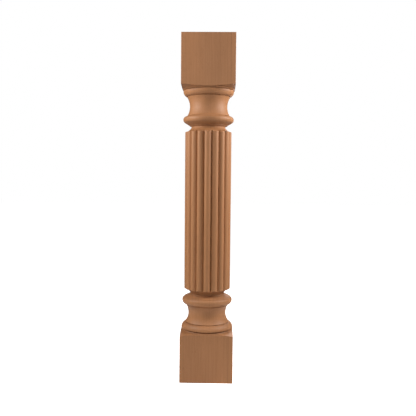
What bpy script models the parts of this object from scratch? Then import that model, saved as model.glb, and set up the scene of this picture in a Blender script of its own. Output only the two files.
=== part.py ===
"""Island post: one piece of wood, square at both ends, turned between, with a reeded shaft.

Metres, +Z up. The origin is the centre of the underside, and the front face looks along -Y.
Sizes along the post are measured from its nearer end.
"""

import math

import bmesh
import bpy

# Overall size.
POST_HEIGHT = 0.8954
SQUARE_WIDTH = 0.1380
ARRIS_ROUND = 0.0012

# The head, from the top end downwards.
HEAD_SQUARE_LENGTH = 0.1275
HEAD_COLLAR_RADIUS = 0.0665
HEAD_COLLAR_HEIGHT = 0.0163
HEAD_COLLAR_EDGE_RADIUS = 0.0584
HEAD_LIP_DEPTH = 0.0020
HEAD_NECK_RADIUS = 0.0493
HEAD_NECK_HEIGHT = 0.0503
HEAD_BEAD_NEAR_RADIUS = 0.0582
HEAD_BEAD_NEAR_HEIGHT = 0.0087
HEAD_BEAD_FAR_RADIUS = 0.0615
HEAD_BEAD_FAR_HEIGHT = 0.0082
HEAD_FILLET_HEIGHT = 0.0016

# The foot, from the bottom end upwards.
FOOT_SQUARE_LENGTH = 0.1234
FOOT_COLLAR_RADIUS = 0.0687
FOOT_COLLAR_HEIGHT = 0.0164
FOOT_COLLAR_EDGE_RADIUS = 0.0590
FOOT_LIP_DEPTH = 0.0011
FOOT_NECK_RADIUS = 0.0500
FOOT_NECK_HEIGHT = 0.0466
FOOT_BEAD_NEAR_RADIUS = 0.0571
FOOT_BEAD_NEAR_HEIGHT = 0.0119
FOOT_BEAD_FAR_RADIUS = 0.0625
FOOT_BEAD_FAR_HEIGHT = 0.0072
FOOT_FILLET_HEIGHT = 0.0006

# Sizes that both turned ends share.
SHOULDER_FALL = 0.0046
SHOULDER_CHAMFER = 0.0030
CREASE_RADIUS = 0.0652
COLLAR_SWELL_HEIGHT = 0.0018
COLLAR_RISE = 0.0025
LIP_HEIGHT = 0.0016
NECK_EDGE_RADIUS = 0.0560
LEDGE_HEIGHT = 0.0014
BEAD_RADIUS = 0.0665
BEAD_SLOPE_HEIGHT = 0.0064
BEAD_SLOPE_RADIUS = 0.0508
FILLET_DEPTH = 0.0010
GROOVE_HEIGHT = 0.0040
GROOVE_RADIUS = 0.0448
FLARE_HEIGHT = 0.0118
FLARE_HOLLOW = 0.0022

# The reeded shaft.
SHAFT_RADIUS = 0.0616
SHAFT_EDGE_CHAMFER = 0.0014
REED_COUNT = 18
REED_DEPTH = 0.0076

# How finely the round forms are cut.
TURN_STEPS = 64
REED_SEGMENTS = 8
COLLAR_SEGMENTS = 3
NECK_SEGMENTS = 3
BEAD_SEGMENTS = 3
EDGE_SEGMENTS = 2
SHARP_ANGLE = math.radians(30)

# Cutters and the turned form reach this far past the wood that they cut.
CUTTER_MARGIN = 0.0100
REED_CUTTER_WALL = 0.0200
MERGE_DISTANCE = 0.00001

WOOD_COLOUR = (0.305, 0.148, 0.066, 1.0)
WOOD_ROUGHNESS = 0.55


def clear_scene():
    for thing in list(bpy.data.objects):
        bpy.data.objects.remove(thing, do_unlink=True)


def new_collection(name):
    group = bpy.data.collections.new(name)
    bpy.context.scene.collection.children.link(group)
    return group


def wood_material():
    material = bpy.data.materials.new("post wood")
    material.use_nodes = True
    shader = material.node_tree.nodes["Principled BSDF"]
    shader.inputs["Base Color"].default_value = WOOD_COLOUR
    shader.inputs["Roughness"].default_value = WOOD_ROUGHNESS
    shader.inputs["Metallic"].default_value = 0.0
    return material


def hide_cutter(thing):
    thing.hide_render = True
    thing.display_type = "WIRE"


def arc(start, end, rise, segments):
    """The points after start on a circular arc to end. A positive rise swells, a negative one hollows."""
    across = end[0] - start[0]
    along = end[1] - start[1]
    chord = math.hypot(across, along)
    sweep = 4 * math.atan(2 * rise / chord)
    radius = chord / (2 * math.sin(sweep / 2))
    reach = radius * math.cos(sweep / 2)
    centre_across = (start[0] + end[0]) / 2 - reach * along / chord
    centre_along = (start[1] + end[1]) / 2 + reach * across / chord
    first = math.atan2(start[1] - centre_along, start[0] - centre_across)
    points = []
    for step in range(1, segments + 1):
        angle = first + sweep * step / segments
        points.append(
            (
                centre_across + abs(radius) * math.cos(angle),
                centre_along + abs(radius) * math.sin(angle),
            )
        )
    return points


def quarter_rise(start, end):
    """The rise of an arc that runs straight along the post at its thickest or thinnest end."""
    across = abs(end[0] - start[0])
    along = abs(end[1] - start[1])
    return math.hypot(across, along) / 2 * math.tan(math.atan2(across, along) / 2)


def swell(start, end, segments):
    return arc(start, end, quarter_rise(start, end), segments)


def hollow(start, end, segments):
    return arc(start, end, -quarter_rise(start, end), segments)


def shoulder_and_crease(square_length):
    """The turned shoulder that takes the corners off the square, down to the crease at the collar."""
    corner_radius = SQUARE_WIDTH / math.sqrt(2)
    inner_radius = CREASE_RADIUS + SHOULDER_CHAMFER
    slope = SHOULDER_FALL / (corner_radius - inner_radius)
    inner = (inner_radius, square_length + SHOULDER_FALL)
    crease = (CREASE_RADIUS, inner[1] + SHOULDER_CHAMFER)
    outer = (corner_radius + CUTTER_MARGIN, square_length - slope * CUTTER_MARGIN)
    return [outer, inner, crease]


def collar_and_neck(start, radius, height, edge_radius, lip_depth, neck_radius, neck_height):
    """The rounded collar, the small lip under it and the hollow neck."""
    widest = (radius, start + COLLAR_SWELL_HEIGHT)
    edge = (edge_radius, start + height)
    lip = (edge_radius - lip_depth, edge[1] + LIP_HEIGHT)
    end = edge[1] + neck_height
    thinnest = (neck_radius, (lip[1] + end) / 2)
    points = [widest]
    points += arc(widest, edge, COLLAR_RISE, COLLAR_SEGMENTS)
    points += [(lip[0], edge[1]), lip]
    points += hollow(lip, thinnest, NECK_SEGMENTS)
    points += hollow(thinnest, (NECK_EDGE_RADIUS, end), NECK_SEGMENTS)
    return points


def bead_and_groove(start, near_radius, near_height, far_radius, far_height, fillet_height):
    """The bead, the fillet past it, the groove and the hollow flare out to the shaft."""
    near = (near_radius, start + LEDGE_HEIGHT)
    crown = (BEAD_RADIUS, near[1] + near_height)
    far = (far_radius, crown[1] + far_height)
    slope_end = (BEAD_SLOPE_RADIUS, far[1] + BEAD_SLOPE_HEIGHT)
    fillet_radius = BEAD_SLOPE_RADIUS - FILLET_DEPTH
    fillet_end = (fillet_radius, slope_end[1] + fillet_height)
    groove = (GROOVE_RADIUS, fillet_end[1] + GROOVE_HEIGHT)
    flare_end = (SHAFT_RADIUS - SHAFT_EDGE_CHAMFER, groove[1] + FLARE_HEIGHT)
    chamfer_reach = SHAFT_EDGE_CHAMFER + CUTTER_MARGIN
    chamfer_end = (flare_end[0] + chamfer_reach, flare_end[1] + chamfer_reach)
    points = [near]
    points += swell(near, crown, BEAD_SEGMENTS)
    points += swell(crown, far, BEAD_SEGMENTS)
    points += [slope_end, (fillet_radius, slope_end[1]), fillet_end]
    points += hollow(fillet_end, groove, EDGE_SEGMENTS)
    points += arc(groove, flare_end, -FLARE_HOLLOW, COLLAR_SEGMENTS)
    points.append(chamfer_end)
    return points, groove[1]


def head_profile():
    """(radius, distance from the top end) along the head, and where its groove is deepest."""
    points = shoulder_and_crease(HEAD_SQUARE_LENGTH)
    points += collar_and_neck(
        points[-1][1],
        HEAD_COLLAR_RADIUS,
        HEAD_COLLAR_HEIGHT,
        HEAD_COLLAR_EDGE_RADIUS,
        HEAD_LIP_DEPTH,
        HEAD_NECK_RADIUS,
        HEAD_NECK_HEIGHT,
    )
    bead, groove = bead_and_groove(
        points[-1][1],
        HEAD_BEAD_NEAR_RADIUS,
        HEAD_BEAD_NEAR_HEIGHT,
        HEAD_BEAD_FAR_RADIUS,
        HEAD_BEAD_FAR_HEIGHT,
        HEAD_FILLET_HEIGHT,
    )
    return points + bead, groove


def foot_profile():
    """(radius, distance from the bottom end) along the foot, and where its groove is deepest."""
    points = shoulder_and_crease(FOOT_SQUARE_LENGTH)
    points += collar_and_neck(
        points[-1][1],
        FOOT_COLLAR_RADIUS,
        FOOT_COLLAR_HEIGHT,
        FOOT_COLLAR_EDGE_RADIUS,
        FOOT_LIP_DEPTH,
        FOOT_NECK_RADIUS,
        FOOT_NECK_HEIGHT,
    )
    bead, groove = bead_and_groove(
        points[-1][1],
        FOOT_BEAD_NEAR_RADIUS,
        FOOT_BEAD_NEAR_HEIGHT,
        FOOT_BEAD_FAR_RADIUS,
        FOOT_BEAD_FAR_HEIGHT,
        FOOT_FILLET_HEIGHT,
    )
    return points + bead, groove


def turned_form(head, foot, group):
    """The whole turned form, a profile spun about the post's axis, wider than the square at its ends."""
    top = POST_HEIGHT + CUTTER_MARGIN
    bottom = -CUTTER_MARGIN
    outline = [(0.0, top), (head[0][0], top)]
    outline += [(radius, POST_HEIGHT - distance) for radius, distance in head]
    outline += [(radius, distance) for radius, distance in reversed(foot)]
    outline += [(foot[0][0], bottom), (0.0, bottom)]
    mesh = bpy.data.meshes.new("turned form")
    edges = [(index, index + 1) for index in range(len(outline) - 1)]
    mesh.from_pydata([(radius, 0.0, height) for radius, height in outline], edges, [])
    form = bpy.data.objects.new("turned_form", mesh)
    group.objects.link(form)
    spin = form.modifiers.new("Spin", "SCREW")
    spin.axis = "Z"
    spin.steps = TURN_STEPS
    spin.render_steps = TURN_STEPS
    spin.use_merge_vertices = True
    spin.merge_threshold = MERGE_DISTANCE
    hide_cutter(form)
    return form


def reed_outline():
    """The shaft's outline seen from above: reeds side by side, one of them facing the front."""
    half_pitch = math.pi / REED_COUNT
    valley_radius = SHAFT_RADIUS - REED_DEPTH
    valley_across = valley_radius * math.cos(half_pitch)
    centre_radius = (SHAFT_RADIUS**2 - valley_radius**2) / (2 * (SHAFT_RADIUS - valley_across))
    reed_radius = SHAFT_RADIUS - centre_radius
    half_sweep = math.atan2(valley_radius * math.sin(half_pitch), valley_across - centre_radius)
    points = []
    for reed in range(REED_COUNT):
        facing = -math.pi / 2 + 2 * half_pitch * reed
        for step in range(REED_SEGMENTS):
            turn = facing + half_sweep * (2 * step / REED_SEGMENTS - 1)
            points.append(
                (
                    centre_radius * math.cos(facing) + reed_radius * math.cos(turn),
                    centre_radius * math.sin(facing) + reed_radius * math.sin(turn),
                )
            )
    return points


def circle_outline(radius):
    turns = [2 * math.pi * step / TURN_STEPS for step in range(TURN_STEPS)]
    return [(radius * math.cos(turn), radius * math.sin(turn)) for turn in turns]


def reed_cutter(bottom, top, group):
    """A thick tube whose bore has the reeds' outline, from groove to groove."""
    curve = bpy.data.curves.new("reed outline", "CURVE")
    curve.dimensions = "2D"
    curve.fill_mode = "BOTH"
    curve.extrude = (top - bottom) / 2
    for outline in (circle_outline(SHAFT_RADIUS + REED_CUTTER_WALL), reed_outline()):
        spline = curve.splines.new("POLY")
        spline.points.add(len(outline) - 1)
        for point, (x, y) in zip(spline.points, outline):
            point.co = (x, y, 0.0, 1.0)
        spline.use_cyclic_u = True
    guide = bpy.data.objects.new("reed outline", curve)
    guide.location.z = (top + bottom) / 2
    group.objects.link(guide)
    bpy.context.view_layer.update()

    graph = bpy.context.evaluated_depsgraph_get()
    mesh = bpy.data.meshes.new_from_object(guide.evaluated_get(graph))
    shape = bmesh.new()
    shape.from_mesh(mesh)
    bmesh.ops.remove_doubles(shape, verts=shape.verts, dist=MERGE_DISTANCE)
    bmesh.ops.recalc_face_normals(shape, faces=shape.faces)
    shape.to_mesh(mesh)
    shape.free()
    cutter = bpy.data.objects.new("reed_cutter", mesh)
    cutter.matrix_world = guide.matrix_world
    group.objects.link(cutter)
    bpy.data.objects.remove(guide, do_unlink=True)
    hide_cutter(cutter)
    return cutter


def square_blank(group):
    """The sawn and planed blank, with its long arrises and ends slightly eased."""
    bpy.ops.mesh.primitive_cube_add(size=1.0)
    blank = bpy.context.object
    blank.name = "post"
    blank.data.name = "post"
    for corner in blank.data.vertices:
        corner.co.x *= SQUARE_WIDTH
        corner.co.y *= SQUARE_WIDTH
        corner.co.z = (corner.co.z + 0.5) * POST_HEIGHT
    for other in list(blank.users_collection):
        other.objects.unlink(blank)
    group.objects.link(blank)
    ease = blank.modifiers.new("Eased arrises", "BEVEL")
    ease.width = ARRIS_ROUND
    ease.segments = EDGE_SEGMENTS
    ease.limit_method = "ANGLE"
    return blank


def cut(blank, name, operation, cutter):
    boolean = blank.modifiers.new(name, "BOOLEAN")
    boolean.operation = operation
    boolean.object = cutter
    boolean.solver = "EXACT"


def build_post():
    clear_scene()
    parts = new_collection("island post")
    cutters = new_collection("cutters")
    head, head_groove = head_profile()
    foot, foot_groove = foot_profile()
    post = square_blank(parts)
    post.data.materials.append(wood_material())
    cut(post, "Turned form", "INTERSECT", turned_form(head, foot, cutters))
    cut(post, "Reeds", "DIFFERENCE", reed_cutter(foot_groove, POST_HEIGHT - head_groove, cutters))
    post.data.shade_smooth()
    post.data.set_sharp_from_angle(angle=SHARP_ANGLE)


build_post()
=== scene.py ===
"""Looks of the island post: the finely turned and reeded wood, the studio stage and the camera.

It is laid out as a Blender add-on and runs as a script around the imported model. Metres, +Z up.
"""

import math

import bmesh
import bpy
from mathutils import Matrix, Vector


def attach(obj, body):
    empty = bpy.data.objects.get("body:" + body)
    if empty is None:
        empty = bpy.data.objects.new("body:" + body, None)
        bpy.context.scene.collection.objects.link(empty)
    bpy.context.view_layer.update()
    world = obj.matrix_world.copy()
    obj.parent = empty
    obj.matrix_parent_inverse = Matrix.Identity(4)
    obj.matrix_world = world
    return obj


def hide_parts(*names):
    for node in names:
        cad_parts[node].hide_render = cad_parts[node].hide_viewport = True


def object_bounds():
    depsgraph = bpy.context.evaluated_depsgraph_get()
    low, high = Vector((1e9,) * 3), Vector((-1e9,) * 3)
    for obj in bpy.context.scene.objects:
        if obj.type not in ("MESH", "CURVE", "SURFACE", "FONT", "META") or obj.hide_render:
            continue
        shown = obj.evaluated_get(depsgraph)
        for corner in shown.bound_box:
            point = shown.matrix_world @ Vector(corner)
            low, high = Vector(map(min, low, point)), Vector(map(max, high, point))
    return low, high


bl_info = {
    "name": "Island Post",
    "version": (1, 0, 0),
    "blender": (4, 5, 0),
    "location": "3D View > Sidebar > Island Post",
    "description": "A wooden island post with square ends, turned necks and beads, and a reeded shaft",
    "category": "Add Mesh",
}

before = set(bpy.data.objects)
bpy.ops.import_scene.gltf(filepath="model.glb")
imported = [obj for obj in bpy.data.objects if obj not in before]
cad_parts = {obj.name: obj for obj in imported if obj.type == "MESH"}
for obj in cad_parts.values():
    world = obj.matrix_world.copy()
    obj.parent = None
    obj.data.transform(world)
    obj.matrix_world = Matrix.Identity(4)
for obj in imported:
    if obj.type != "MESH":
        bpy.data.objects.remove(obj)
CAD_LOW, CAD_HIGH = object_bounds()

# How finely the forms are drawn.
REED_SEGMENTS = 16
COVE_SEGMENTS = 12
FLARE_SEGMENTS = 36
CORNER_SEGMENTS = 3
ARRIS_SEGMENTS = 4
MERGE_DISTANCE = 0.00001
SHARP_ANGLE = math.radians(32)
PROFILE_CORNER = math.radians(25)

# The blank is spun this much wider than its corners before its four faces are cut.
BLANK_MARGIN = 0.0100


def length(name, description, default):
    return bpy.props.FloatProperty(
        name=name,
        description=description,
        default=default,
        min=0.0,
        subtype="DISTANCE",
        unit="LENGTH",
        precision=4,
    )


def share(name, description, default):
    return bpy.props.FloatProperty(
        name=name, description=description, default=default, min=0.0, max=1.0, subtype="FACTOR"
    )


def angle(name, description, default):
    return bpy.props.FloatProperty(
        name=name,
        description=description,
        default=math.radians(default),
        subtype="ANGLE",
        unit="ROTATION",
    )


def colour(name, description, default):
    return bpy.props.FloatVectorProperty(
        name=name, description=description, default=default, size=3, min=0.0, max=1.0, subtype="COLOR"
    )


class BlankSizes(bpy.types.PropertyGroup):
    """The square blank that the post is turned from."""

    height: length("Height", "From the underside to the top end", CAD_HIGH.z - CAD_LOW.z)
    width: length("Width", "Across the flats of the square", CAD_HIGH.x - CAD_LOW.x)
    arris: length("Arris", "Width of the eased arrises", 0.0011)


class HeadSizes(bpy.types.PropertyGroup):
    """The turned head, from the top end downwards."""

    square_length: length("Square length", "From the top end to the turned shoulder", 0.1275)
    collar_radius: length("Collar radius", "Widest radius of the collar", 0.0665)
    collar_height: length("Collar height", "Height of the collar", 0.0163)
    collar_edge_radius: length("Collar edge radius", "Radius at the collar's lower edge", 0.0584)
    lip_depth: length("Lip depth", "How far the lip steps in from the collar", 0.0020)
    neck_radius: length("Neck radius", "Thinnest radius of the neck", 0.0493)
    neck_height: length("Neck height", "Height of the neck with its lip", 0.0503)
    bead_near_radius: length("Bead near radius", "Radius where the bead starts at the neck", 0.0582)
    bead_near_height: length("Bead near height", "From the neck to the bead's crown", 0.0087)
    bead_far_radius: length("Bead far radius", "Radius where the bead ends", 0.0615)
    bead_far_height: length("Bead far height", "From the bead's crown to its end", 0.0082)
    fillet_height: length("Fillet height", "Height of the fillet past the bead", 0.0016)


class FootSizes(bpy.types.PropertyGroup):
    """The turned foot, from the underside upwards."""

    square_length: length("Square length", "From the underside to the turned shoulder", 0.1234)
    collar_radius: length("Collar radius", "Widest radius of the collar", 0.0687)
    collar_height: length("Collar height", "Height of the collar", 0.0164)
    collar_edge_radius: length("Collar edge radius", "Radius at the collar's upper edge", 0.0590)
    lip_depth: length("Lip depth", "How far the lip steps in from the collar", 0.0011)
    neck_radius: length("Neck radius", "Thinnest radius of the neck", 0.0500)
    neck_height: length("Neck height", "Height of the neck with its lip", 0.0466)
    bead_near_radius: length("Bead near radius", "Radius where the bead starts at the neck", 0.0571)
    bead_near_height: length("Bead near height", "From the neck to the bead's crown", 0.0119)
    bead_far_radius: length("Bead far radius", "Radius where the bead ends", 0.0625)
    bead_far_height: length("Bead far height", "From the bead's crown to its end", 0.0072)
    fillet_height: length("Fillet height", "Height of the fillet past the bead", 0.0006)


class TurningSizes(bpy.types.PropertyGroup):
    """The turned sizes that both ends share."""

    shoulder_fall: length("Shoulder fall", "How far the shoulder slopes from corner to round", 0.0046)
    shoulder_chamfer: length("Shoulder chamfer", "Steeper part of the shoulder at the crease", 0.0030)
    crease_radius: length("Crease radius", "Radius of the crease at the collar", 0.0652)
    crease_depth: length("Crease depth", "How far the parting tool cut in at the crease", 0.0020)
    line_depth: length("Line depth", "Depth of the fine line between collar and lip", 0.0015)
    collar_swell: length("Collar swell height", "From the crease to the collar's widest place", 0.0018)
    collar_rise: length("Collar rise", "How far the collar's side bulges", 0.0025)
    lip_height: length("Lip height", "Height of the small lip at the neck", 0.0016)
    neck_edge_radius: length("Neck edge radius", "Radius where the neck meets the bead", 0.0560)
    ledge_height: length("Ledge height", "Height of the ledge between neck and bead", 0.0014)
    bead_radius: length("Bead radius", "Radius at the bead's crown", 0.0665)
    slope_height: length("Slope height", "Height of the slope past the bead", 0.0064)
    slope_radius: length("Slope radius", "Radius where that slope ends", 0.0508)
    fillet_depth: length("Fillet depth", "How far the fillet steps in", 0.0010)
    groove_height: length("Groove height", "From the fillet to the deepest of the groove", 0.0040)
    groove_radius: length("Groove radius", "Radius at the deepest of the groove", 0.0448)
    flare_height: length("Flare height", "From the groove out to the shaft", 0.0118)
    flare_hollow: length("Flare hollow", "How far the flare hollows", 0.0022)
    easing: length("Easing", "How far the turned edges are eased with sandpaper", 0.00030)
    quirk_depth: length("Quirk depth", "Depth of the fine lines beside the foot's bead", 0.0011)


class ShaftSizes(bpy.types.PropertyGroup):
    """The reeded shaft."""

    radius: length("Radius", "Radius over the crowns of the reeds", 0.0616)
    edge_chamfer: length("Edge chamfer", "Chamfer where the flare meets the reeds", 0.0014)
    reed_count: bpy.props.IntProperty(
        name="Reed count", description="Number of reeds round the shaft", default=18, min=8, max=40
    )
    reed_depth: length("Reed depth", "From the crown of a reed to the valley beside it", 0.0076)


class WoodLook(bpy.types.PropertyGroup):
    """Colours and figure of the bare wood."""

    early_wood: colour("Early wood", "The lighter part of each growth ring", (0.450, 0.205, 0.086))
    late_wood: colour("Late wood", "The darker part of each growth ring", (0.330, 0.140, 0.055))
    end_grain: colour("End grain", "Wood seen end on, which drinks in light", (0.360, 0.158, 0.064))
    ring_spacing: length("Ring spacing", "Width of one growth ring", 0.0036)
    ring_strength: share("Ring strength", "How strongly the growth rings show", 0.55)
    fibre_strength: share("Fibre strength", "How strongly the long fibres show", 0.35)
    pore_strength: share("Pore strength", "How dark the pores are", 0.22)
    seam_strength: share("Seam strength", "How dark the glue lines are", 0.45)
    roughness: share("Roughness", "Roughness of the sanded wood", 0.50)
    board_thickness: length("Board thickness", "Thickness of each glued board", 0.0460)


class StudioLook(bpy.types.PropertyGroup):
    """The camera and the soft light of the studio."""

    eye_distance: length("Eye distance", "From the post's axis to the camera", 1.5159)
    eye_height: length("Eye height", "Height of the camera over the floor", 0.5202)
    post_turn: angle("Post turn", "How far the post is turned from the camera", 1.155)
    pitch: angle("Pitch", "How far the camera looks down", 3.391)
    roll: angle("Roll", "How far the camera leans", 0.491)
    lens: bpy.props.FloatProperty(
        name="Lens", description="Focal length in millimetres on a 36 mm sensor", default=49.28, min=1.0
    )
    shift_across: bpy.props.FloatProperty(
        name="Shift across", description="Sideways lens shift, as a share of the picture", default=0.00065
    )
    shift_up: bpy.props.FloatProperty(
        name="Shift up", description="Upward lens shift, as a share of the picture", default=0.01923
    )
    light_colour: colour("Light colour", "Colour of the soft boxes", (1.0, 0.985, 0.965))
    floor_colour: colour("Floor colour", "Colour of the floor and backdrop", (0.93, 0.93, 0.93))


class IslandPostSettings(bpy.types.PropertyGroup):
    """All that a user may change."""

    blank: bpy.props.PointerProperty(type=BlankSizes)
    head: bpy.props.PointerProperty(type=HeadSizes)
    foot: bpy.props.PointerProperty(type=FootSizes)
    turning: bpy.props.PointerProperty(type=TurningSizes)
    shaft: bpy.props.PointerProperty(type=ShaftSizes)
    wood: bpy.props.PointerProperty(type=WoodLook)
    studio: bpy.props.PointerProperty(type=StudioLook)


# The turned profile, as (radius, distance from the nearer end) pairs.


def arc(start, end, rise, segments):
    """The points after start on a circular arc to end. A positive rise swells, a negative one hollows."""
    across = end[0] - start[0]
    along = end[1] - start[1]
    chord = math.hypot(across, along)
    sweep = 4 * math.atan(2 * rise / chord)
    radius = chord / (2 * math.sin(sweep / 2))
    reach = radius * math.cos(sweep / 2)
    centre_across = (start[0] + end[0]) / 2 - reach * along / chord
    centre_along = (start[1] + end[1]) / 2 + reach * across / chord
    first = math.atan2(start[1] - centre_along, start[0] - centre_across)
    points = []
    for step in range(1, segments + 1):
        turn = first + sweep * step / segments
        points.append(
            (
                centre_across + abs(radius) * math.cos(turn),
                centre_along + abs(radius) * math.sin(turn),
            )
        )
    return points


def quarter_rise(start, end):
    """The rise of an arc that runs straight along the post at its thickest or thinnest end."""
    across = abs(end[0] - start[0])
    along = abs(end[1] - start[1])
    return math.hypot(across, along) / 2 * math.tan(math.atan2(across, along) / 2)


def swell(start, end, segments):
    return arc(start, end, quarter_rise(start, end), segments)


def hollow(start, end, segments):
    return arc(start, end, -quarter_rise(start, end), segments)


def blank_radius(settings):
    return settings.blank.width / math.sqrt(2) + BLANK_MARGIN


def shoulder_profile(settings, end):
    """The shoulder that takes the corners off the square, down to the crease at the collar."""
    turning = settings.turning
    outer_radius = blank_radius(settings)
    inner_radius = turning.crease_radius + turning.shoulder_chamfer
    corner_radius = outer_radius - BLANK_MARGIN
    slope = turning.shoulder_fall / (corner_radius - inner_radius)
    inner = (inner_radius, end.square_length + turning.shoulder_fall)
    crease = (turning.crease_radius, inner[1] + turning.shoulder_chamfer)
    outer = (outer_radius, end.square_length - slope * BLANK_MARGIN)
    crease_bottom = (turning.crease_radius - turning.crease_depth, crease[1])
    return [outer, inner, crease, crease_bottom]


def collar_and_neck(settings, end, start):
    """The rounded collar, the small lip under it and the hollow neck."""
    turning = settings.turning
    widest = (end.collar_radius, start + turning.collar_swell)
    edge = (end.collar_edge_radius, start + end.collar_height)
    lip = (end.collar_edge_radius - end.lip_depth, edge[1] + turning.lip_height)
    neck_end = (turning.neck_edge_radius, edge[1] + end.neck_height)
    thinnest = (end.neck_radius, (lip[1] + neck_end[1]) / 2)
    points = [widest]
    points += arc(widest, edge, turning.collar_rise, COVE_SEGMENTS)
    points += [(lip[0] - turning.line_depth, edge[1]), (lip[0], edge[1] + turning.line_depth), lip]
    points += hollow(lip, thinnest, COVE_SEGMENTS)
    points += hollow(thinnest, neck_end, COVE_SEGMENTS)
    return points


def bead_profile(settings, end, start, has_quirk):
    """The bead, the slope and fillet past it, the groove and the hollow flare out to the shaft."""
    turning = settings.turning
    shaft = settings.shaft
    near = (end.bead_near_radius, start + turning.ledge_height)
    crown = (turning.bead_radius, near[1] + end.bead_near_height)
    far = (end.bead_far_radius, crown[1] + end.bead_far_height)
    slope_end = (turning.slope_radius, far[1] + turning.slope_height)
    fillet_radius = turning.slope_radius - turning.fillet_depth
    fillet_end = (fillet_radius, slope_end[1] + end.fillet_height)
    groove = (turning.groove_radius, fillet_end[1] + turning.groove_height)
    flare_end = (shaft.radius - shaft.edge_chamfer, groove[1] + turning.flare_height)
    points = [near]
    if has_quirk:
        points.insert(0, (turning.neck_edge_radius - turning.quirk_depth, near[1]))
    points += swell(near, crown, COVE_SEGMENTS)
    points += swell(crown, far, COVE_SEGMENTS)
    if has_quirk:
        depth = turning.quirk_depth
        points += [(far[0] - depth, far[1]), (far[0] - depth, far[1] + depth)]
    points += [slope_end, (fillet_radius, slope_end[1]), fillet_end]
    points += hollow(fillet_end, groove, COVE_SEGMENTS)
    points += arc(groove, flare_end, -turning.flare_hollow, FLARE_SEGMENTS)
    for step in range(1, CORNER_SEGMENTS + 1):
        reach = shaft.edge_chamfer * step / CORNER_SEGMENTS
        points.append((flare_end[0] + reach, flare_end[1] + reach))
    return points, groove[1]


def end_profile(settings, end, has_quirk):
    """The whole turned end, and the distance from its end to the groove."""
    points = shoulder_profile(settings, end)
    points += collar_and_neck(settings, end, points[-1][1])
    bead, groove = bead_profile(settings, end, points[-1][1], has_quirk)
    return points + bead, groove


# The wood's form.


def profile_wire(shape, points):
    """A wire through (radius, height) points."""
    corners = [shape.verts.new((radius, 0.0, height)) for radius, height in points]
    for pair in zip(corners, corners[1:]):
        shape.edges.new(pair)
    return corners


def turn_at(corner):
    """How far the wire turns at this vertex."""
    ways = [edge.other_vert(corner).co - corner.co for edge in corner.link_edges]
    return math.pi - ways[0].angle(ways[1])


def ease_wire(shape, corners, easing):
    """Rounds the wire's sharp corners where the lines beside them are long enough."""
    sharp = []
    for corner in corners[2:-2]:
        shortest = min(edge.calc_length() for edge in corner.link_edges)
        if turn_at(corner) > PROFILE_CORNER and shortest > 2 * easing:
            sharp.append(corner)
    bmesh.ops.bevel(
        shape,
        geom=sharp,
        affect="VERTICES",
        offset=easing,
        segments=CORNER_SEGMENTS,
        profile=0.5,
        material=-1,
    )


def reed_place(shaft, turn):
    """Where a column of the spun form stands on the reeds' outline, as (radius, turn about the axis)."""
    pitch = 2 * math.pi / shaft.reed_count
    valley_radius = shaft.radius - shaft.reed_depth
    valley_across = valley_radius * math.cos(pitch / 2)
    valley_aside = valley_radius * math.sin(pitch / 2)
    centre = (shaft.radius**2 - valley_radius**2) / (2 * (shaft.radius - valley_across))
    reed_radius = shaft.radius - centre
    half_sweep = math.atan2(valley_aside, valley_across - centre)
    reed = math.floor(turn / pitch + MERGE_DISTANCE)
    facing = (reed + 0.5) * pitch
    sweep = half_sweep * (2 * (turn / pitch - reed) - 1)
    across = centre + reed_radius * math.cos(sweep)
    aside = reed_radius * math.sin(sweep)
    return math.hypot(across, aside), facing + math.atan2(aside, across)


def cut_reeds(shape, shaft, bottom, top):
    """Gathers the columns towards the valleys, and takes each down to the reeds between the grooves."""
    for corner in shape.verts:
        radius = math.hypot(corner.co.x, corner.co.y)
        reed_radius, turn = reed_place(shaft, math.atan2(corner.co.y, corner.co.x))
        if bottom < corner.co.z < top:
            radius = min(radius, reed_radius)
        corner.co.x = radius * math.cos(turn)
        corner.co.y = radius * math.sin(turn)


def fill_open_ends(shape):
    open_edges = [edge for edge in shape.edges if edge.is_boundary]
    bmesh.ops.holes_fill(shape, edges=open_edges, sides=0)


def saw_square(shape, width):
    """Cuts the four faces of the square, where the form is wider than them."""
    for way in (Vector((1, 0, 0)), Vector((-1, 0, 0)), Vector((0, 1, 0)), Vector((0, -1, 0))):
        bmesh.ops.bisect_plane(
            shape,
            geom=shape.verts[:] + shape.edges[:] + shape.faces[:],
            dist=MERGE_DISTANCE,
            plane_co=way * width / 2,
            plane_no=way,
            clear_outer=True,
        )
        fill_open_ends(shape)


def square_arrises(shape, width):
    """The edges between the flat faces of the square ends: long arrises and end edges."""
    flat = {face for face in shape.faces if face.calc_area() > width * width / 3}
    return [edge for edge in shape.edges if len(flat.intersection(edge.link_faces)) == 2]


def ease_arrises(shape, settings):
    bmesh.ops.bevel(
        shape,
        geom=square_arrises(shape, settings.blank.width),
        affect="EDGES",
        offset=settings.blank.arris,
        segments=ARRIS_SEGMENTS,
        profile=0.5,
        material=-1,
        clamp_overlap=True,
    )


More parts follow.
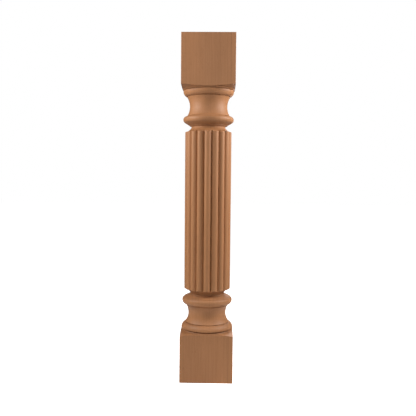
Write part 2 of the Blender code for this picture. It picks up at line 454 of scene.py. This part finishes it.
def turn_post(settings):
    """The post's mesh: a profile spun about the axis, reeded, and sawn square at both ends."""
    height = settings.blank.height
    head, head_groove = end_profile(settings, settings.head, has_quirk=False)
    foot, foot_groove = end_profile(settings, settings.foot, has_quirk=True)
    outline = [(head[0][0], height)]
    outline += [(radius, height - distance) for radius, distance in head]
    outline += reversed(foot)
    outline.append((foot[0][0], 0.0))

    shape = bmesh.new()
    corners = profile_wire(shape, outline)
    ease_wire(shape, corners, settings.turning.easing)
    bmesh.ops.spin(
        shape,
        geom=shape.verts[:] + shape.edges[:],
        cent=(0.0, 0.0, 0.0),
        axis=(0.0, 0.0, 1.0),
        angle=2 * math.pi,
        steps=settings.shaft.reed_count * REED_SEGMENTS,
        use_merge=True,
        use_duplicate=False,
    )
    bmesh.ops.remove_doubles(shape, verts=shape.verts, dist=MERGE_DISTANCE)
    fill_open_ends(shape)
    cut_reeds(shape, settings.shaft, foot_groove, height - head_groove)
    saw_square(shape, settings.blank.width)
    bmesh.ops.recalc_face_normals(shape, faces=shape.faces)
    ease_arrises(shape, settings)
    return shape


def soften(shape):
    """Shades the form smooth, apart from its sharp edges."""
    for face in shape.faces:
        face.smooth = True
    for edge in shape.edges:
        edge.smooth = edge.is_manifold and edge.calc_face_angle() < SHARP_ANGLE


def new_piece(context, name, shape, material):
    mesh = bpy.data.meshes.new(name)
    shape.to_mesh(mesh)
    shape.free()
    mesh.materials.append(material)
    piece = bpy.data.objects.new(name, mesh)
    context.scene.collection.objects.link(piece)
    return piece


# The wood's finish.

BOARD_JOINTS = (0.0570, -0.0340, 0.0120)
BOARD_TONES = (0.0, 0.45, -0.25, 0.20, 0.30, -0.15)
BOARDS_PER_LAYER = 2
SEAM_WIDTH = 0.0007

# How far the figure is shifted from board to board, across and along the post.
FIGURE_SCATTER = (0.07, 0.07, 4.0)

# Where the heart of the tree lies beside the post, so that the rings show as nearly straight lines.
PITH_PLACE = (0.31, 0.06, 0.0)

# Each pattern: its squeeze along the post, which makes it streaky, then scale, detail and roughness.
WAVER = ((1.0, 1.0, 0.10), 26.0, 3.0, 0.5)
SLOW_WAVER = ((1.0, 1.0, 0.22), 5.0, 2.0, 0.5)
FIBRES = ((1.0, 1.0, 0.018), 900.0, 3.0, 0.6)
FLECKS = ((1.0, 1.0, 0.060), 1500.0, 1.0, 0.5)
CLOUDS = ((1.0, 1.0, 0.25), 14.0, 3.0, 0.5)
ACROSS_ONLY = (1.0, 1.0, 0.0)

# How far the rings stray from true circles, in metres.
WAVER_REACH = 0.0016
SLOW_REACH = 0.020

# How strongly tone, rings, fibres, pores and seams act on colour, gloss and relief.
PORE_COLOUR = (0.12, 0.05, 0.025, 1.0)
TONE_SHARE = 0.16
END_RING_SHARE = -0.35
END_GRAIN_SHARE = 0.85
FIBRE_ROUGHNESS = 0.10
PORE_ROUGHNESS = 0.15
FIBRE_RELIEF = 0.35
PORE_RELIEF = -0.8
SEAM_RELIEF = -0.6
RELIEF_STRENGTH = 0.25
RELIEF_DISTANCE = 0.0003
WOOD_SPECULAR = 0.4


class NodeBench:
    """Adds nodes to one tree and joins them, so that a recipe reads as one line for each step."""

    def __init__(self, tree):
        self.tree = tree

    def add(self, kind, inputs=(), **settings):
        node = self.tree.nodes.new(kind)
        for name, value in settings.items():
            setattr(node, name, value)
        for socket, value in dict(inputs).items():
            if isinstance(value, bpy.types.NodeSocket):
                self.tree.links.new(value, node.inputs[socket])
            else:
                node.inputs[socket].default_value = value
        return node

    def maths(self, operation, *values, clamp=False):
        node = self.add("ShaderNodeMath", dict(enumerate(values)), operation=operation, use_clamp=clamp)
        return node.outputs[0]

    def vector(self, operation, *values):
        node = self.add("ShaderNodeVectorMath", dict(enumerate(values)), operation=operation)
        return node.outputs["Vector"]

    def streaks(self, place, squeeze, scale, detail, roughness):
        squeezed = self.vector("MULTIPLY", place, squeeze)
        node = self.add(
            "ShaderNodeTexNoise",
            {"Vector": squeezed, "Scale": scale, "Detail": detail, "Roughness": roughness},
        )
        return node.outputs["Fac"]

    def spread(self, value, low, high, out_low=0.0, out_high=1.0):
        node = self.add(
            "ShaderNodeMapRange",
            {"Value": value, "From Min": low, "From Max": high, "To Min": out_low, "To Max": out_high},
            interpolation_type="SMOOTHSTEP",
        )
        return node.outputs["Result"]

    def grey(self, value):
        """A grey colour of this brightness."""
        return self.add("ShaderNodeCombineColor", {0: value, 1: value, 2: value}).outputs[0]

    def blend(self, kind, share_of_second, first, second):
        node = self.add("ShaderNodeMix", data_type="RGBA", blend_type=kind)
        for socket, value in ((0, share_of_second), (6, first), (7, second)):
            if isinstance(value, bpy.types.NodeSocket):
                self.tree.links.new(value, node.inputs[socket])
            else:
                node.inputs[socket].default_value = value
        return node.outputs[2]


def new_group(name, sockets_in, sockets_out):
    """An empty node group with its sockets: (name, socket type, default) in and (name, socket type) out."""
    group = bpy.data.node_groups.new(name, "ShaderNodeTree")
    for label, kind, default in sockets_in:
        socket = group.interface.new_socket(label, in_out="INPUT", socket_type=kind)
        if default is not None:
            socket.default_value = default
    for label, kind in sockets_out:
        group.interface.new_socket(label, in_out="OUTPUT", socket_type=kind)
    bench = NodeBench(group)
    return group, bench, bench.add("NodeGroupInput").outputs, bench.add("NodeGroupOutput").inputs


def board_group():
    """Three layers of two glued boards each: every board has its own figure and tone."""
    group, bench, given, out = new_group(
        "glued boards",
        (("Place", "NodeSocketVector", None), ("Thickness", "NodeSocketFloat", 0.046)),
        (("Place", "NodeSocketVector"), ("Tone", "NodeSocketFloat"), ("Seam", "NodeSocketFloat")),
    )
    place = bench.add("ShaderNodeSeparateXYZ", {0: given["Place"]}).outputs
    half_layer = bench.maths("MULTIPLY", given["Thickness"], 0.5)
    past_first = bench.maths("GREATER_THAN", place["Y"], bench.maths("MULTIPLY", half_layer, -1.0))
    past_second = bench.maths("GREATER_THAN", place["Y"], half_layer)
    layer = bench.maths("ADD", past_first, past_second)
    joint = 0.0
    for index, where in enumerate(BOARD_JOINTS):
        chosen = bench.maths("COMPARE", layer, float(index), 0.1)
        joint = bench.maths("MULTIPLY_ADD", chosen, where, joint)
    beyond = bench.maths("GREATER_THAN", place["X"], joint)
    board = bench.maths("MULTIPLY_ADD", layer, float(BOARDS_PER_LAYER), beyond)
    tone = 0.0
    for index, value in enumerate(BOARD_TONES):
        chosen = bench.maths("COMPARE", board, float(index), 0.1)
        tone = bench.maths("MULTIPLY_ADD", chosen, value, tone)
    chance = bench.add("ShaderNodeTexWhiteNoise", {"W": board}, noise_dimensions="1D").outputs["Color"]
    shift = bench.vector("MULTIPLY", chance, FIGURE_SCATTER)

    to_joint = bench.maths("ABSOLUTE", bench.maths("SUBTRACT", place["X"], joint))
    from_middle = bench.maths("ABSOLUTE", place["Y"])
    to_layer = bench.maths("ABSOLUTE", bench.maths("SUBTRACT", from_middle, half_layer))
    gap = bench.maths("MINIMUM", to_joint, to_layer)
    seam = bench.spread(gap, 0.0, SEAM_WIDTH, 1.0, 0.0)
    bench.tree.links.new(bench.vector("ADD", given["Place"], shift), out["Place"])
    bench.tree.links.new(tone, out["Tone"])
    bench.tree.links.new(seam, out["Seam"])
    return group


def figure_group():
    """Growth rings, fibres and pores of straight-grained wood that runs along Z."""
    group, bench, given, out = new_group(
        "straight grain",
        (("Place", "NodeSocketVector", None), ("Ring Spacing", "NodeSocketFloat", 0.0036)),
        (
            ("Ring", "NodeSocketFloat"),
            ("Fibre", "NodeSocketFloat"),
            ("Pore", "NodeSocketFloat"),
            ("Cloud", "NodeSocketFloat"),
        ),
    )
    place = given["Place"]
    waver = bench.streaks(place, *WAVER)
    slow = bench.streaks(place, *SLOW_WAVER)
    from_pith = bench.vector("ADD", place, PITH_PLACE)
    flat = bench.vector("MULTIPLY", from_pith, ACROSS_ONLY)
    reach = bench.add("ShaderNodeVectorMath", {0: flat}, operation="LENGTH").outputs["Value"]
    reach = bench.maths("MULTIPLY_ADD", waver, WAVER_REACH, reach)
    reach = bench.maths("MULTIPLY_ADD", slow, SLOW_REACH, reach)
    count = bench.maths("DIVIDE", reach, given["Ring Spacing"])
    year = bench.maths("FRACT", count)
    rise = bench.spread(year, 0.25, 0.92)
    fall = bench.spread(year, 0.94, 1.0, 1.0, 0.0)
    number = bench.maths("FLOOR", count)
    weight = bench.add("ShaderNodeTexWhiteNoise", {"W": number}, noise_dimensions="1D").outputs["Value"]
    band = bench.maths("MULTIPLY", rise, fall)
    ring = bench.maths("MULTIPLY", band, bench.spread(weight, 0.0, 1.0, 0.4, 1.0))
    fibre = bench.streaks(place, *FIBRES)
    pore = bench.spread(bench.streaks(place, *FLECKS), 0.63, 0.74)
    cloud = bench.streaks(place, *CLOUDS)
    bench.tree.links.new(ring, out["Ring"])
    bench.tree.links.new(bench.spread(fibre, 0.3, 0.7), out["Fibre"])
    bench.tree.links.new(pore, out["Pore"])
    bench.tree.links.new(cloud, out["Cloud"])
    return group


def wood_material(settings):
    """Sanded bare wood: straight grain along the post, darker where it is cut across the grain."""
    wood = settings.wood
    material = bpy.data.materials.new("post wood")
    material.use_nodes = True
    tree = material.node_tree
    bench = NodeBench(tree)
    shader = tree.nodes["Principled BSDF"]
    shader.inputs["Specular IOR Level"].default_value = WOOD_SPECULAR
    place = bench.add("ShaderNodeTexCoord").outputs
    boards = bench.add("ShaderNodeGroup", node_tree=board_group())
    tree.links.new(place["Object"], boards.inputs["Place"])
    boards.inputs["Thickness"].default_value = wood.board_thickness
    figure = bench.add("ShaderNodeGroup", node_tree=figure_group())
    tree.links.new(boards.outputs["Place"], figure.inputs["Place"])
    figure.inputs["Ring Spacing"].default_value = wood.ring_spacing

    early = (*wood.early_wood, 1.0)
    late = (*wood.late_wood, 1.0)
    end = (*wood.end_grain, 1.0)
    ring = figure.outputs["Ring"]
    fibre = figure.outputs["Fibre"]
    pore = figure.outputs["Pore"]
    seam = boards.outputs["Seam"]

    ringed = bench.blend("MIX", bench.maths("MULTIPLY", ring, wood.ring_strength), early, late)
    fibred = bench.blend("MIX", bench.maths("MULTIPLY", fibre, wood.fibre_strength), ringed, late)
    clouded = bench.spread(figure.outputs["Cloud"], 0.3, 0.7, 0.93, 1.06)
    toned = bench.maths("MULTIPLY_ADD", boards.outputs["Tone"], TONE_SHARE, clouded)
    shaded = bench.blend("MULTIPLY", 1.0, fibred, bench.grey(toned))
    pored = bench.blend("MIX", bench.maths("MULTIPLY", pore, wood.pore_strength), shaded, PORE_COLOUR)
    seamed = bench.blend("MIX", bench.maths("MULTIPLY", seam, wood.seam_strength), pored, PORE_COLOUR)

    facing = bench.add("ShaderNodeSeparateXYZ", {0: place["Normal"]}).outputs["Z"]
    end_share = bench.spread(bench.maths("ABSOLUTE", facing), 0.45, 1.0, 0.0, END_GRAIN_SHARE)
    end_tone = bench.maths("MULTIPLY_ADD", ring, END_RING_SHARE, 1.0)
    end_colour = bench.blend("MULTIPLY", 1.0, end, bench.grey(end_tone))
    finished = bench.blend("MIX", end_share, seamed, end_colour)
    tree.links.new(finished, shader.inputs["Base Color"])

    rough = bench.maths("MULTIPLY_ADD", fibre, FIBRE_ROUGHNESS, wood.roughness)
    rough = bench.maths("MULTIPLY_ADD", pore, PORE_ROUGHNESS, rough)
    tree.links.new(rough, shader.inputs["Roughness"])
    relief = bench.maths("MULTIPLY", fibre, FIBRE_RELIEF)
    relief = bench.maths("MULTIPLY_ADD", pore, PORE_RELIEF, relief)
    relief = bench.maths("MULTIPLY_ADD", seam, SEAM_RELIEF, relief)
    bump = bench.add(
        "ShaderNodeBump", {"Height": relief, "Strength": RELIEF_STRENGTH, "Distance": RELIEF_DISTANCE}
    )
    tree.links.new(bump.outputs["Normal"], shader.inputs["Normal"])
    return material


# The stage.

# (name, turn from the front in degrees, height, distance, width, tall, power)
SOFT_BOXES = (
    ("left box", -72.0, 0.90, 0.80, 0.40, 0.50, 8.2),
    ("right box", 84.0, 0.92, 0.80, 0.35, 0.50, 10.0),
    ("top box", -14.0, 1.90, 1.00, 0.50, 0.50, 3.0),
    ("front box", 6.0, 0.98, 1.10, 0.40, 0.30, 2.4),
    ("back box", 172.0, 0.80, 1.20, 0.50, 0.60, 6.0),
)
AMBIENT = 0.02
FLOOR_REACH = 12.0
FLOOR_ROUGHNESS = 0.9
SENSOR_WIDTH = 36.0


def soft_box(context, settings, name, turn, height, distance, width, tall, power):
    """An area light that faces the post's middle."""
    studio = settings.studio
    data = bpy.data.lights.new(name, "AREA")
    data.shape = "RECTANGLE"
    data.size = width
    data.size_y = tall
    data.energy = power
    data.color = studio.light_colour
    box = bpy.data.objects.new(name, data)
    box.visible_camera = False
    way = math.radians(turn)
    box.location = (distance * math.sin(way), -distance * math.cos(way), height)
    target = Vector((0.0, 0.0, settings.blank.height / 2))
    box.rotation_mode = "QUATERNION"
    box.rotation_quaternion = (target - box.location).to_track_quat("-Z", "Y")
    context.scene.collection.objects.link(box)
    return box


def floor_material(studio):
    """Pale and even: seen by the camera it is lit from within, and it only reflects a little light."""
    material = bpy.data.materials.new("pale floor")
    material.use_nodes = True
    tree = material.node_tree
    shader = tree.nodes["Principled BSDF"]
    shader.inputs["Base Color"].default_value = (*studio.floor_colour, 1.0)
    shader.inputs["Roughness"].default_value = FLOOR_ROUGHNESS
    bench = NodeBench(tree)
    seen = bench.add("ShaderNodeLightPath").outputs["Is Camera Ray"]
    shader.inputs["Emission Color"].default_value = (1.0, 1.0, 1.0, 1.0)
    tree.links.new(seen, shader.inputs["Emission Strength"])
    return material


def floor_sheet(context, settings):
    """A wide flat floor."""
    shape = bmesh.new()
    bmesh.ops.create_grid(shape, x_segments=2, y_segments=2, size=FLOOR_REACH)
    piece = new_piece(context, "floor", shape, floor_material(settings.studio))
    return piece


def studio_world(context):
    """White to the camera, and a dim even light on the wood."""
    world = bpy.data.worlds.new("white studio")
    world.use_nodes = True
    bench = NodeBench(world.node_tree)
    seen = bench.add("ShaderNodeLightPath").outputs["Is Camera Ray"]
    strength = bench.maths("MAXIMUM", seen, AMBIENT)
    backdrop = world.node_tree.nodes["Background"]
    backdrop.inputs["Color"].default_value = (1.0, 1.0, 1.0, 1.0)
    world.node_tree.links.new(strength, backdrop.inputs["Strength"])
    context.scene.world = world


def photo_camera(context, studio):
    """The camera at the photograph's viewing angle."""
    data = bpy.data.cameras.new("camera")
    data.lens = studio.lens
    data.sensor_width = SENSOR_WIDTH
    data.shift_x = studio.shift_across
    data.shift_y = studio.shift_up
    camera = bpy.data.objects.new("camera", data)
    turn = studio.post_turn
    place = Vector((math.sin(turn), -math.cos(turn), 0.0)) * studio.eye_distance
    place.z = studio.eye_height
    aim = Matrix.Rotation(turn, 4, "Z")
    aim = aim @ Matrix.Rotation(math.pi / 2 - studio.pitch, 4, "X")
    aim = aim @ Matrix.Rotation(studio.roll, 4, "Z")
    camera.matrix_world = Matrix.Translation(place) @ aim
    context.scene.collection.objects.link(camera)
    context.scene.camera = camera


class ISLANDPOST_OT_turn_post(bpy.types.Operator):
    """Turn, reed and finish the wooden post"""

    bl_idname = "island_post.turn_post"
    bl_label = "Turn Post"

    def execute(self, context):
        settings = context.scene.island_post
        shape = turn_post(settings)
        if any(not edge.is_manifold for edge in shape.edges):
            raise RuntimeError("the turned post has an open or doubled edge")
        soften(shape)
        post = new_piece(context, "turned_post", shape, wood_material(settings))
        weighted = post.modifiers.new("Weighted normals", "WEIGHTED_NORMAL")
        weighted.keep_sharp = True
        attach(post, "root")
        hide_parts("post")
        return {"FINISHED"}


class ISLANDPOST_OT_set_stage(bpy.types.Operator):
    """Set out the floor, the soft boxes and the camera"""

    bl_idname = "island_post.set_stage"
    bl_label = "Set Stage"

    def execute(self, context):
        settings = context.scene.island_post
        floor_sheet(context, settings)
        studio_world(context)
        for box in SOFT_BOXES:
            soft_box(context, settings, *box)
        photo_camera(context, settings.studio)
        context.scene.view_settings.view_transform = "Standard"
        return {"FINISHED"}


class ISLANDPOST_PT_panel(bpy.types.Panel):
    """The post's operators and settings"""

    bl_idname = "ISLANDPOST_PT_panel"
    bl_label = "Island Post"
    bl_space_type = "VIEW_3D"
    bl_region_type = "UI"
    bl_category = "Island Post"

    def draw(self, context):
        layout = self.layout
        layout.operator(ISLANDPOST_OT_turn_post.bl_idname)
        layout.operator(ISLANDPOST_OT_set_stage.bl_idname)
        settings = context.scene.island_post
        for name in ("blank", "head", "foot", "turning", "shaft", "wood", "studio"):
            box = layout.box()
            box.label(text=name.title())
            group = getattr(settings, name)
            for label in group.bl_rna.properties.keys():
                if label not in ("rna_type", "name"):
                    box.prop(group, label)


CLASSES = (
    BlankSizes,
    HeadSizes,
    FootSizes,
    TurningSizes,
    ShaftSizes,
    WoodLook,
    StudioLook,
    IslandPostSettings,
    ISLANDPOST_OT_turn_post,
    ISLANDPOST_OT_set_stage,
    ISLANDPOST_PT_panel,
)


def register():
    for kind in CLASSES:
        bpy.utils.register_class(kind)
    bpy.types.Scene.island_post = bpy.props.PointerProperty(type=IslandPostSettings)


def unregister():
    del bpy.types.Scene.island_post
    for kind in reversed(CLASSES):
        bpy.utils.unregister_class(kind)


def main():
    register()
    bpy.ops.island_post.turn_post()
    bpy.ops.island_post.set_stage()


if __name__ == "__main__":
    main()
